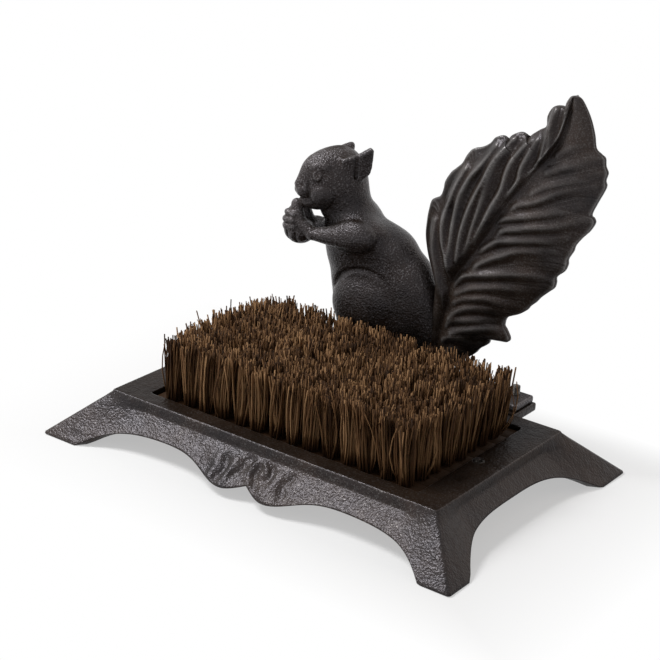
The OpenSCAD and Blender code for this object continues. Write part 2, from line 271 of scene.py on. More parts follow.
def woodFinish(name):
    material, wire, place = startFinish(name)
    drawn = wire.node("Mapping", {"Vector": place, "Scale": (9, 90, 90)})
    grain = noise(drawn, 1.6, 6, 0.65)
    pores = noise(drawn, 9, 3, 0.6)
    tone = mixColour(ramp(grain, 0.3, 0.72), (0.17, 0.095, 0.045), (0.33, 0.21, 0.11))
    tone = mixColour(ramp(pores, 0.6, 0.8) * 0.5, tone, (0.09, 0.05, 0.025))
    skin = bump(grain * 0.5 + pores, 0.35, 0.0005)
    closeFinish(wire, {"Base Color": tone, "Roughness": 0.55 + (grain - 0.5) * 0.3, "Normal": skin})
    return material


ironSkin = ironFinish("castIron", trayIron)
figureSkin = ironFinish("sandyIron", figureIron)
tailSkin = ironFinish("smoothIron", tailIron)
boltSkin = steelFinish("dullSteel", (0.035, 0.031, 0.028), (0.10, 0.094, 0.088), 0.4)
blackSkin = steelFinish("blackedSteel", (0.010, 0.008, 0.007), (0.030, 0.025, 0.022), 0.5)
coirSkin = coirFinish("coir")
woodSkin = woodFinish("sawnWood")
print("finishes made")


# Meshes
def makeMesh(name, points, faces):
    mesh = bpy.data.meshes.new(name)
    mesh.from_pydata((np.asarray(points, float) * mm).tolist(), [], [tuple(face) for face in faces])
    mesh.update()
    return mesh


def addPiece(name, points, faces, finish, slotName, nodeName):
    mesh = makeMesh(name, points, faces)
    for face in mesh.polygons:
        face.use_smooth = True
    piece = addObject(name, mesh)
    mesh.materials.append(finish)
    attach(piece, "root")
    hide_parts(nodeName)
    print(name, len(mesh.vertices), "points", len(mesh.polygons), "faces")
    return piece


def joinParts(parts):
    points, faces, start = [], [], 0
    for partPoints, partFaces in parts:
        points.append(np.asarray(partPoints, float))
        faces.extend([tuple(int(i) + start for i in face) for face in partFaces])
        start += len(partPoints)
    return np.concatenate(points), faces


def easedBlock(low, high, radius, steps=4):
    work = bmesh.new()
    bmesh.ops.create_cube(work, size=1)
    middle, size = (np.array(low) + high) / 2, np.array(high) - low
    for vert in work.verts:
        vert.co = Vector(middle + np.array(vert.co) * size)
    bmesh.ops.bevel(work, geom=work.edges[:], offset=radius, segments=steps, profile=0.5, affect="EDGES")
    points = [tuple(vert.co) for vert in work.verts]
    faces = [[vert.index for vert in face.verts] for face in work.faces]
    work.free()
    return points, faces


def bands(count, ring, wrap=False):
    # quads between rings of points; wrap joins the last ring to the first
    faces = []
    for i in range(count if wrap else count - 1):
        a, b = i * ring, (i + 1) % count * ring
        faces += [(a + k, a + (k + 1) % ring, b + (k + 1) % ring, b + k) for k in range(ring)]
    return faces


def fullTurn(steps):
    return np.arange(steps) * 2 * np.pi / steps


def ringAt(centre, reach, height, turn):
    x, y = centre[0] + reach * np.cos(turn), centre[1] + reach * np.sin(turn)
    return np.stack([x, y, np.full(len(turn), height)], 1)


def closeTube(rings, centre, low, high):
    # skins rings about an upright axis and closes both ends with a point on it
    steps = len(rings[0])
    points = np.concatenate([[(*centre, low)], *rings, [(*centre, high)]])
    faces, last = [tuple(1 + i for i in face) for face in bands(len(rings), steps)], len(points) - 1
    for k in range(steps):
        after = (k + 1) % steps
        faces += [(0, 1 + after, 1 + k), (last, last - steps + k, last - steps + after)]
    return points, faces


def lathe(profile, centre, steps=48, sides=None):
    # profile is radius and height, closed at both ends on the axis; sides gives a polygon instead of a circle
    turn, flat = fullTurn(steps), 1
    if sides:
        flat = np.cos(np.pi / sides) / np.cos((turn + np.pi / sides) % (2 * np.pi / sides) - np.pi / sides)
    rings = [ringAt(centre, radius * flat, height, turn) for radius, height in profile[1:-1]]
    return closeTube(rings, centre, profile[0][1], profile[-1][1])


def threadedShank(centre, low, high, radius, pitch, depth, steps=40):
    # a rod with a helical thread, pointed a little at its upper end
    turn, rings = fullTurn(steps), []
    for height in np.linspace(low, high, max(8, int((high - low) / pitch * 10))):
        phase = (height / pitch - turn / (2 * np.pi)) % 1
        cut = depth * np.abs(2 * phase - 1)
        ease = min(1, (high - height) / (1.2 * depth) + 0.25)
        rings.append(ringAt(centre, (radius - cut) * (0.78 + 0.22 * ease), height, turn))
    return closeTube(rings, centre, low, high)


# Tray
tray = {
    "halfLength": 130, "halfWidth": 75, "top": 32, "fascia": 7, "splay": 32, "flarePower": 1.07,
    "wall": 6, "endBand": 23, "sideBand": 14, "inset": 4.5, "rise": 3,
    "longArch": (15, 137, 7), "sideArch": (16.5, 81, 3.3),  # height, half span and power
    "frontShift": 3, "sideShift": 4, "ridgeTop": 30.3, "footEdge": 1.5, "ridgeReach": 26,
    "lobePlace": 17.5, "lobeDrop": 8.9, "lobeInner": 21, "lobeOuter": 25.5,
    "cornerRound": 2.2, "edgeRound": 1.3,
    "lugs": (60, 94, 70, 102.5, 26, 32), "lugRound": 1.4,
    "screwPlace": 112, "hole": [(0, 22), (2.3, 22), (2.3, 29.8), (4.3, 32.02), (4.3, 34), (0, 34)],
    "bulge": (0.9, 18, 13), "bulgeTop": 23, "ornamentTop": 24.5, "ornamentEnd": 60,
    "slopeWay": (0.637, 0.77),  # out and up from the front's slope
}
# the ornament on the front: lines of x and z, with the width and height of each ridge or groove
scrolls = [
    ([(-24, 18.5), (-21.5, 16), (-20.8, 13.3), (-22, 10.8), (-23.3, 9.6)], 2.5, -1.2),
    ([(-9.5, 20), (-8.6, 17.8), (-9.7, 16.2), (-11.4, 14.2), (-13, 13.4)], 2.5, -1.2),
    ([(-7, 23), (-4.9, 22), (-5.5, 20.9)], 1.8, -0.9),
    ([(-39.4, 15.2), (-35.5, 13.2), (-32.4, 12.3)], 2.3, -0.8),
    ([(2.4, 20.4), (1.3, 18.2), (1.2, 15.6), (4.3, 13.1), (7.3, 11.3)], 2.0, -1.0),
    ([(6.3, 23), (10.2, 21.3), (12.6, 18.6), (12.2, 16.2), (9.5, 15.3), (7.4, 15.7)], 2.0, -1.1),
    ([(26.4, 20.3), (25.7, 18.1), (23.9, 16.1), (24.7, 14.1), (26.9, 12.1)], 2.6, -1.2),
    ([(0, 12.7), (-3, 16.5), (-3.2, 20.1), (-1.3, 22.6), (2, 23.6), (5.2, 23.6)], 2.2, 1.0),
    ([(3.5, 22), (7, 20.4), (8.6, 18.2), (7, 16.8)], 2.0, 1.1),
    ([(-17, 19), (-15.5, 15.5), (-17.5, 11.5)], 2.6, 0.8),
    ([(-30, 18), (-27.5, 14.5), (-29, 11)], 3.2, 0.7),
    ([(18, 20), (18.5, 15.5), (16, 10.5)], 3.4, 0.7),
]


def flare(height):
    top = tray["top"] - tray["fascia"]
    return tray["splay"] * (np.maximum(0, top - height) / top) ** tray["flarePower"]


def ridge(height):
    # the straight corner of a leg, from under the rim's edge to the foot
    return tray["splay"] * np.clip((tray["ridgeTop"] - height) / (tray["ridgeTop"] - tray["footEdge"]), 0, 1)


def archEdge(along, kind):
    height, span, power = tray[kind]
    return np.maximum(0, height * (1 - (np.abs(along) / span) ** power))


def frontEdge(x):
    past = np.abs(x) - tray["lobePlace"]
    width = np.where(past < 0, tray["lobeInner"], tray["lobeOuter"])
    lobes = tray["lobeDrop"] * np.exp(-(past / width) ** 2)
    return np.maximum(0, archEdge(x - tray["frontShift"], "longArch") - lobes)


def nearLine(x, z, line):
    # how far a point is from a line, and how far along the line
    best, share = np.full(x.shape, 1e6), np.zeros(x.shape)
    for number, ((ax, az), (bx, bz)) in enumerate(zip(line[:-1], line[1:])):
        k = np.clip(((x - ax) * (bx - ax) + (z - az) * (bz - az)) / ((bx - ax) ** 2 + (bz - az) ** 2), 0, 1)
        far = np.hypot(x - ax - k * (bx - ax), z - az - k * (bz - az))
        share = np.where(far < best, (number + k) / (len(line) - 1), share)
        best = np.minimum(best, far)
    return best, share


def ornament(x, z):
    high, place, spread = tray["bulge"]
    lift = high * np.exp(-((np.abs(x) - place) / spread) ** 2) * np.clip((tray["bulgeTop"] - z) / 8, 0, 1)
    for line, width, height in scrolls:
        lift = lift + height * np.exp(-(nearLine(x, z, line)[0] / width) ** 2)
    return lift * np.clip((tray["ornamentTop"] - z) / 3, 0, 1)


def buildTray():
    rounding, half, width = tray["cornerRound"], tray["halfLength"], tray["halfWidth"]
    fine, coarse = np.arange(-48, 48.01, 0.75), np.arange(48, 127.6, 1.5)
    frontT = np.concatenate([-coarse[::-1], fine[1:-1], coarse]) / (half - rounding)
    frontT = np.clip(frontT / np.abs(frontT).max(), -1, 1)
    rearT, sideT = np.linspace(-1, 1, 150), np.linspace(-1, 1, 96)
    arc = np.linspace(0, 1, 7)[1:-1]
    stations = []  # side number, share along the side, share round the corner
    for side, shares in enumerate((frontT, sideT, rearT, sideT)):
        stations += [(side, share, -1) for share in shares]
        stations += [(side, 1, share) for share in arc]
    number, share, bend = np.array(stations, float).T
    number = number.astype(int)
    longSide = number % 2 == 0

    def plan(out, inner):
        # where each station lies for an offset from the rim's outer line, or from the opening's edge
        out = np.broadcast_to(np.asarray(out, float), share.shape)
        halfX = half - (tray["endBand"] if inner else 0)
        halfY = width - (tray["sideBand"] if inner else 0)
        own = np.where(longSide, halfX, halfY) - rounding
        across = np.where(longSide, halfY, halfX) + out
        grow = np.where(out > 0, share ** 3, share)
        along = own * share + grow * out
        turn = np.clip(bend, 0, 1) * np.pi / 2
        along = np.where(bend >= 0, own + out + rounding * np.sin(turn), along)
        across = np.where(bend >= 0, across - rounding + rounding * np.cos(turn), across)
        x = np.choose(number, [along, across, -along, -across])
        y = np.choose(number, [-across, along, across, -along])
        return x, y

    gap = (1 - np.abs(share)) * (np.where(longSide, half, width) - rounding)
    near = np.clip(1 - gap / tray["ridgeReach"], 0, 1)
    near = np.where(bend >= 0, 1, near * near * (3 - 2 * near))  # one at a leg's corner

    def reach(height):
        return flare(height) + near * np.maximum(0, ridge(height) - flare(height))

    low = np.zeros(len(share))
    for turn in range(60):
        x, y = plan(reach(low), False)
        rear, sides = archEdge(x, "longArch"), archEdge(y + tray["sideShift"], "sideArch")
        target = np.where(number == 0, frontEdge(x), np.where(number == 2, rear, sides))
        low = low + 0.5 * (np.where(bend >= 0, 0, target) - low)
    top, inset, edge = tray["top"], tray["inset"], tray["edgeRound"]
    under, skirtTop = top - tray["wall"], top - tray["fascia"]
    rows = []  # plan and height of each line round the tray

    def addRow(out, height, inner=False):
        rows.append((plan(out, inner), height))

    def addFlat(first, second, shares, height):
        for k in shares:
            rows.append((tuple(a * (1 - k) + b * k for a, b in zip(first, second)), height))

    for angle in np.linspace(0, np.pi / 2, 4):
        addRow(edge * (1 - np.cos(angle)), top - edge * (1 - np.sin(angle)), True)
    addFlat(plan(edge, True), plan(-edge, False), (0.2, 0.4, 0.6, 0.8), top)
    for angle in np.linspace(0, np.pi / 2, 5):
        addRow(-edge + edge * np.sin(angle), top - edge * (1 - np.cos(angle)))
    for height, out in ((skirtTop + 1.6, 0.05), (skirtTop + 0.4, 0.12)):
        addRow(out + reach(height), height)
    firstSlope = len(rows)
    for k in np.linspace(0, 1, 34):
        height = (skirtTop - 0.4) * (1 - k) + (low + 1.0) * k
        addRow(reach(height) + 0.12 * (1 - k), height)
    lastSlope = len(rows)
    deep = flare(low + tray["rise"]) - inset
    addRow(reach(low) - 0.2, low + 0.3)
    addRow(reach(low) - 1.0, low)
    addRow(deep + 1.0, low)
    addRow(deep + 0.2, low + 0.3)
    for k in np.linspace(0, 1, 10):
        height = (low + 1.0) * (1 - k) + (skirtTop - tray["rise"]) * k
        addRow(flare(height + tray["rise"]) - inset, height)
    addRow(-inset - 0.3, under - 0.5)
    addFlat(plan(-inset - 1, False), plan(1.0, True), (0, 0.35, 0.7, 1), under)
    addRow(0.2, under + 0.4, True)
    points = np.zeros((len(rows), len(share), 3))
    for i, ((x, y), height) in enumerate(rows):
        points[i, :, 0], points[i, :, 1], points[i, :, 2] = x, y, height
    slope = points[firstSlope:lastSlope]
    lift = ornament(slope[:, :, 0], slope[:, :, 2]) * (number == 0) * (np.abs(slope[:, :, 0]) < tray["ornamentEnd"])
    slope[:, :, 1] -= tray["slopeWay"][0] * lift
    slope[:, :, 2] += tray["slopeWay"][1] * lift
    faces = [(face[0], *face[:0:-1]) for face in bands(*points.shape[:2], True)]
    return points.reshape(-1, 3), faces


def sinkScrews(piece):
    # countersunk holes through the rim's two ends
    for side in (-1, 1):
        cutter = addObject("cutter", makeMesh("cutter", *lathe(tray["hole"], (side * tray["screwPlace"], 0), 40)))
        cut = piece.modifiers.new("hole", "BOOLEAN")
        cut.operation, cut.object, cut.solver = "DIFFERENCE", cutter, "EXACT"
        bpy.context.view_layer.update()
        made = bpy.data.meshes.new_from_object(piece.evaluated_get(bpy.context.evaluated_depsgraph_get()))
        piece.modifiers.clear()
        piece.data = made
        bpy.data.objects.remove(cutter)


def buildLugs():
    x0, x1, y0, y1, z0, z1 = tray["lugs"]
    spans = ((-x1, -x0), (x0, x1))
    return joinParts([easedBlock((low, y0, z0), (high, y1, z1), tray["lugRound"]) for low, high in spans])


sinkScrews(addPiece("trayCasting", *buildTray(), ironSkin, "iron", "tray_frame"))
addPiece("trayLugs", *buildLugs(), ironSkin, "iron", "tray_frame")
print("tray built")


# Squirrel, sculpted as a field of rounded forms and skinned
figure = {"base": np.array([0, 89.5, 37]), "step": 0.8}
headPlace, headDegrees = np.array([-60.1, -9.9, 124.0]), 50
headTurn = math.radians(headDegrees)
headForward = np.array([-math.cos(headTurn), -math.sin(headTurn), 0])
headNear = np.array([math.sin(headTurn), -math.cos(headTurn), 0])


def headSpot(forward, near, up):
    return headPlace + forward * headForward + near * headNear + np.array([0, 0, up])


def headForm(forward, near, up, radii):
    return (headSpot(forward, near, up), radii, headDegrees)


class Clay:
    # a block of distances that forms are blended into or carved out of
    def __init__(self, low, high, step):
        self.low, self.step = np.array(low, float), step
        self.axes = [np.arange(a, b, step, dtype=np.float32) for a, b in zip(low, high)]
        self.field = np.full([len(axis) for axis in self.axes], 60, np.float32)

    def window(self, low, high):
        cuts = [slice(*np.searchsorted(axis, (a, b))) for axis, a, b in zip(self.axes, low, high)]
        x, y, z = (axis[cut] for axis, cut in zip(self.axes, cuts))
        return tuple(cuts), x[:, None, None], y[None, :, None], z[None, None, :]

    def forms(self, chain, soft, steps=5):
        # distance to a chain of ellipsoids, each a centre, three radii and a turn; a lone one counts twice
        chain = chain * 2 if len(chain) == 1 else chain
        spots = []
        for first, second in zip(chain[:-1], chain[1:]):
            for k in np.linspace(0, 1, steps)[:-1]:
                spots.append([np.asarray(a, float) * (1 - k) + np.asarray(b, float) * k for a, b in zip(first, second)])
        spots.append([np.asarray(value, float) for value in chain[-1]])
        reach = [max(radii) + soft + 3 for centre, radii, turn in spots]
        low = np.min([spot[0] - r for spot, r in zip(spots, reach)], 0)
        high = np.max([spot[0] + r for spot, r in zip(spots, reach)], 0)
        cut, x, y, z = self.window(low, high)
        best = None
        for centre, radii, turn in spots:
            c, s = math.cos(math.radians(turn)), math.sin(math.radians(turn))
            dx, dy, dz = x - centre[0], y - centre[1], z - centre[2]
            px, py = (c * dx + s * dy) / radii[0], (c * dy - s * dx) / radii[1]
            pz = dz / radii[2]
            near = np.sqrt(px ** 2 + py ** 2 + pz ** 2)
            slope = np.sqrt((px / radii[0]) ** 2 + (py / radii[1]) ** 2 + (pz / radii[2]) ** 2) + 1e-6
            dist = near * (near - 1) / slope
            best = dist if best is None else softMin(best, dist, min(soft, 3))
        return cut, best

    def add(self, chain, soft=2, steps=5):
        cut, dist = self.forms(chain, soft, steps)
        self.field[cut] = softMin(self.field[cut], dist, soft)

    def carve(self, chain, soft=1, steps=5):
        cut, dist = self.forms(chain, soft, steps)
        self.field[cut] = -softMin(-self.field[cut], dist, soft)

    def line(self, spots, radius, soft=0.8, add=False, steps=8):
        chain = [(spot, (radius, radius, radius), 0) for spot in spots]
        (self.add if add else self.carve)(chain, soft, steps)

    def onSkin(self, spot, way, reach=14):
        # the first point of the skin met when coming in along a direction
        way = np.asarray(way, float) / np.linalg.norm(way)
        for k in np.arange(reach, -reach, -0.2):
            place = np.asarray(spot) + way * k
            at = tuple(np.round((place - self.low) / self.step).astype(int))
            if self.field[at] < 0:
                return place
        return np.asarray(spot)


def softMin(first, second, soft):
    share = np.maximum(soft - np.abs(first - second), 0) / soft
    return np.minimum(first, second) - share * share * soft * 0.25


def skinClay(clay, smooth=2):
    field = clay.field
    inside = field < 0
    shape = [n - 1 for n in field.shape]
    corners = [(a, b, c) for a in (0, 1) for b in (0, 1) for c in (0, 1)]
    count = sum(inside[a:a + shape[0], b:b + shape[1], c:c + shape[2]].astype(np.int8) for a, b, c in corners)
    cells = np.argwhere((count > 0) & (count < 8))
    index = np.full(shape, -1, np.int64)
    index[tuple(cells.T)] = np.arange(len(cells))
    values = np.stack([field[tuple((cells + corner).T)] for corner in corners], 1)
    total, hits = np.zeros((len(cells), 3)), np.zeros(len(cells))
    for a in range(8):
        for b in range(a + 1, 8):
            if sum(abs(p - q) for p, q in zip(corners[a], corners[b])) != 1:
                continue
            cross = (values[:, a] < 0) != (values[:, b] < 0)
            share = np.where(cross, values[:, a] / np.where(cross, values[:, a] - values[:, b], 1), 0)
            spot = np.array(corners[a]) + share[:, None] * (np.array(corners[b]) - np.array(corners[a]))
            total += np.where(cross[:, None], spot, 0)
            hits += cross
    points = clay.low + clay.step * (cells + total / hits[:, None])
    quads = []
    for axis in range(3):
        ahead = np.moveaxis(inside, axis, 0)
        change = np.argwhere(ahead[:-1] != ahead[1:])
        filled = ahead[:-1][tuple(change.T)]
        others = [other for other in range(3) if other != axis]
        place = np.zeros_like(change)
        place[:, [axis, *others]] = change
        keep = np.ones(len(place), bool)
        for other in others:
            keep &= (place[:, other] > 0) & (place[:, other] < shape[other])
        place, filled = place[keep], filled[keep]
        ring = []
        for back in ((1, 1), (0, 1), (0, 0), (1, 0)):
            cell = place.copy()
            cell[:, others] -= back
            ring.append(index[tuple(cell.T)])
        quad = np.stack(ring, 1)
        flip = filled if axis != 1 else ~filled
        quad[~flip] = quad[~flip][:, ::-1]
        quads.append(quad)
    quads = np.concatenate(quads)
    pairs = np.concatenate([quads[:, [k, (k + 1) % 4]] for k in range(4)])
    for turn in range(smooth):
        sums, hits = np.zeros_like(points), np.zeros(len(points))
        np.add.at(sums, pairs[:, 0], points[pairs[:, 1]])
        np.add.at(hits, pairs[:, 0], 1)
        points = points * 0.5 + 0.5 * sums / np.maximum(hits, 1)[:, None]
    return points, quads


pelvis = ((-19, -4.3, 30), (41, 18.7, 34), 6)
waist = ((-29, -4.8, 67), (37.5, 18.7, 24), 8)
chest = ((-47, -7.5, 87), (21.5, 17.5, 19), 30)
neck = ((-53.2, -8, 104), (13.5, 14, 16), 40)
skull = headForm(3, 0, 1.5, (19.5, 17, 21))
nearShoulder = ((-36, -17, 90), (13, 9.5, 11.2), 0)
nearElbow = ((-37, -24, 90.5), (16, 10.5, 11.2), 4)
nearForearm = ((-52, -28.5, 88), (8, 7, 7), 0)
nearWrist = ((-66.5, -33, 87.4), (4.6, 4.6, 4.2), 0)
nearPalm = ((-77, -34, 94), (4.6, 4.6, 4.8), 0)
nearKnuckle = ((-81.5, -32.5, 105), (3.8, 3.8, 4.6), 0)
farShoulder = ((-52, 5, 92.4), (12, 10, 12), 0)
farElbow = ((-63, 1, 81), (10, 9, 9), 20)
farWrist = ((-80.5, -20, 89), (6.2, 5.5, 6), 0)
farPalm = ((-83.5, -22.5, 99), (5.6, 5, 7.5), 0)
bodyForms = [  # a chain of forms, and how softly it blends in
    ([pelvis, waist, chest, neck, skull], 8),
    ([((-2, -1.5, 48), (16, 14.3, 27), 0)], 8),
    ([((-25, -3, 82), (18, 15, 10.5), 0)], 8),
    ([headForm(12, 0, 5, (15.6, 11.4, 14.8)), headForm(18, 0, -4, (10, 10, 10)),
      headForm(26.5, 0, -6, (5.4, 6.4, 5.4))], 4),
    ([headForm(20, 0, 7, (8.4, 7.5, 8)), headForm(28.6, 0, -3, (4, 3.8, 4))], 2),
    *[([headForm(13.5, side * 6.6, -8.0, (11.2, 9, 10.4))], 0.8) for side in (1, -1)],
    *[([headForm(28.1, side * 2.5, -7.6, (4.2, 4, 4.2))], 0.9) for side in (1, -1)],
    ([headForm(23, 0, -15.2, (5.4, 4.8, 5))], 1.6),
    ([headForm(30.8, 0, -3.6, (2.4, 2.8, 2.2))], 0.8),
    ([((-63.5, -15, 103), (7, 7, 7), 0)], 4),
    ([headForm(17.5, 2, -15, (7, 6, 5.6))], 2),
    ([headForm(-3, -10, 14, (6, 5, 6)), headForm(-7.7, -9, 20.3, (2, 1.8, 2.2))], 1.5),
    ([nearShoulder], 9),
    ([nearShoulder, nearElbow], 1.1),
    ([nearElbow, nearForearm, nearWrist], 0.9),
    ([nearWrist, nearPalm, nearKnuckle], 1.2),
    ([farShoulder], 8),
    ([farShoulder, farElbow, farWrist], 2),
    ([farWrist, farPalm], 1.4),
    ([((-72, -18, 86.5), (8, 7, 4.5), 0), ((-58, -12, 88), (8, 7, 5), 0)], 3),
    ([((-86, -27, 96), (5, 4.5, 6.5), 0)], 1.4),
    ([((-79.8, -30, 86.4), (11, 9.2, 8.8), 0)], 0.8),
    ([((-28.5, -15, 41), (27.3, 13, 26), 6)], 1.6),
    ([((-34, 5.5, 41), (24, 10, 24), 6)], 1.6),
    ([((-28, -9, 4), (8, 6, 6), 0), ((-66, -10, 3.6), (6.4, 6, 4.6), 0)], 2),
    ([((-30, 5, 4), (8, 6, 6), 0), ((-66, 4.5, 3.6), (6.4, 6, 4.6), 0)], 2),
]
nearEar = {
    "outline": [(5.6, 17.2), (-6, 20.4), (-13.7, 26.2), (-15.6, 24.6), (-15.3, 12.4), (-14.2, 7.2), (-9.6, 2.6),
                (3, 2)],
    "out": 13.8, "lean": 0.1, "leanFrom": 12, "flare": 0.35, "fold": -4.8, "half": 2.2, "round": 0.9,
    "middle": (-5, 14, 14), "window": 22,
}


def addEar(clay):
    spec, middle = nearEar, headSpot(*nearEar["middle"])
    cut, x, y, z = clay.window(middle - spec["window"], middle + spec["window"])
    dx, dy, dz = x - headPlace[0], y - headPlace[1], z - headPlace[2]
    forward = headForward[0] * dx + headForward[1] * dy + 0 * dz
    near = headNear[0] * dx + headNear[1] * dy + 0 * dz
    up = 0 * dx + 0 * dy + dz

    def leanAt(height):
        return spec["out"] + spec["lean"] * (height - spec["leanFrom"])

    outline = np.array(spec["outline"])
    far, sign = nearLine(forward, up, [*outline, outline[0]])[0], np.ones(forward.shape)
    for a, b in zip(outline, np.roll(outline, -1, 0)):
        (ex, ez), wx, wz = b - a, forward - a[0], up - a[1]
        above, below, left = up >= a[1], up < b[1], ex * wz > ez * wx
        sign = np.where((above & below & left) | (~above & ~below & ~left), -sign, sign)
    flat = sign * far + spec["round"]
    middle = leanAt(up) + spec["flare"] * np.maximum(0, spec["fold"] - forward)
    slab = np.abs(near - middle) - spec["half"] + spec["round"]
    plate = np.minimum(np.maximum(flat, slab), 0) + np.hypot(np.maximum(flat, 0), np.maximum(slab, 0)) - spec["round"]
    clay.field[cut] = softMin(clay.field[cut], plate.astype(np.float32), 2.4)
    # the fold down the middle
    spots = [headSpot(spec["fold"], leanAt(height) + spec["half"] + 0.4, height) for height in (4, 9, 14, 21)]
    clay.line(spots, 1.2, 0.5, False, 14)


face = {  # spots forward, near and up from the head's middle
    "brow": [(22.5, 7, 9.6), (19, 9, 11.6), (15, 11, 10.6)],
    "eye": [(20, 9, 4.5)], "lid": (2.1, 3.0),
    "groove": [(25.8, 7, -0.8), (25.2, 7, -7.6), (24, 6, -13.7)],
    "nostril": [(29.6, 3, -3.2), (28.6, 4, -4)],
    "ahead": np.array([0.53, -0.75, 0.38]),  # features of the near side are met from the front right
}


def addFace(clay):
    for side in (1, -1):

        def skinSpots(name):
            met = [clay.onSkin(headSpot(*spot), face["ahead"]) - headPlace for spot in face[name]]
            return [headSpot(spot @ headForward, side * (spot @ headNear), spot[2]) for spot in met]

        way = headForward * 0.42 + side * headNear * 0.87 + np.array([0, 0, 0.26])
        brow, (eye,), groove, nostril = (skinSpots(name) for name in ("brow", "eye", "groove", "nostril"))
        clay.line([spot - (2.2 - 0.7 * side) * way for spot in brow], 2.4, 2, True, 6)
        clay.line([spot + 0.45 * way for spot in groove], 1.0, 0.9, False, 14)
        clay.line([spot + 0.3 * way for spot in nostril], 0.7, 0.4)
        across = np.cross(way, (0, 0, 1))
        across /= np.linalg.norm(across)
        rise = np.cross(across, way / np.linalg.norm(way))
        wide, high = face["lid"]
        lid = [eye + 0.1 * way + wide * math.cos(turn) * across + high * math.sin(turn) * rise
               for turn in np.linspace(0, 2 * np.pi, 21)]
        clay.carve([(eye + 0.6 * way, (2.2, 2.2, 2.9), 0)], 0.5)
        clay.line(lid, 0.9, 0.8, True, 3)
        clay.add([(eye - 0.6 * way, (1.6, 1.6, 2.2), 0)], 0.2)


def addHands(clay):
    # fingers over the nut, the nut's seams, and the toes
    fingers = [
        [(-80, -37, 99), (-86, -36, 99.5), (-90, -31, 97.5)],
        [(-80, -38, 95), (-87, -37, 94.5), (-91.5, -31, 92.5)],
        [(-79, -38, 91), (-86, -37.5, 89.5), (-91, -31.5, 88)],
    ]
    for finger in fingers:
        clay.line(finger, 2.3, 0.7, True, 6)
    for x in (-84, -77):
        seam = [clay.onSkin((x, -34, z), (0, -1, 0), 9) for z in (79.5, 82, 84.5, 87)]
        clay.line(seam, 0.8, 0.6)
    for y in (-14.5, -10, -5.5, 0.5, 4.5, 8.5):
        clay.add([((-67, y, 3.4), (6.2, 2.6, 3.2), 0)], 0.5)


def addCrease(clay):
    # the crease where the haunch meets the body
    turns = np.radians([160, 145, 130, 115, 100, 85, 70, 55])
    crease = [(-28.5 + 28.3 * math.cos(a), -20, 41 + 27 * math.sin(a)) for a in turns]
    depth = (0.5, 0, 0, 0, 0.1, 0.4, 0.9, 1.5)
    skin = [clay.onSkin(spot, (0.2, -1, 0.1), 16) - np.array([0, out, 0]) for spot, out in zip(crease, depth)]
    clay.line(skin, 1.0, 1.8)


def buildSquirrel():
    clay = Clay((-100, -46, -6), (28, 24, 154), figure["step"])
    for chain, soft in bodyForms:
        clay.add(chain, soft)
    addEar(clay)
    addFace(clay)
    addHands(clay)
    addCrease(clay)
    below = (-3 - clay.axes[2])[None, None, :]
    clay.field = np.maximum(clay.field, below)
    points, quads = skinClay(clay)
    return points + figure["base"], quads.tolist()


basePlate = {"low": (-92, 77.5, 32), "high": (92, 101.5, 37), "radius": 1.5}
squirrelMesh = joinParts([buildSquirrel(), easedBlock(**basePlate)])
addPiece("squirrelCasting", *squirrelMesh, figureSkin, "iron", "squirrel_figure")
print("squirrel built")


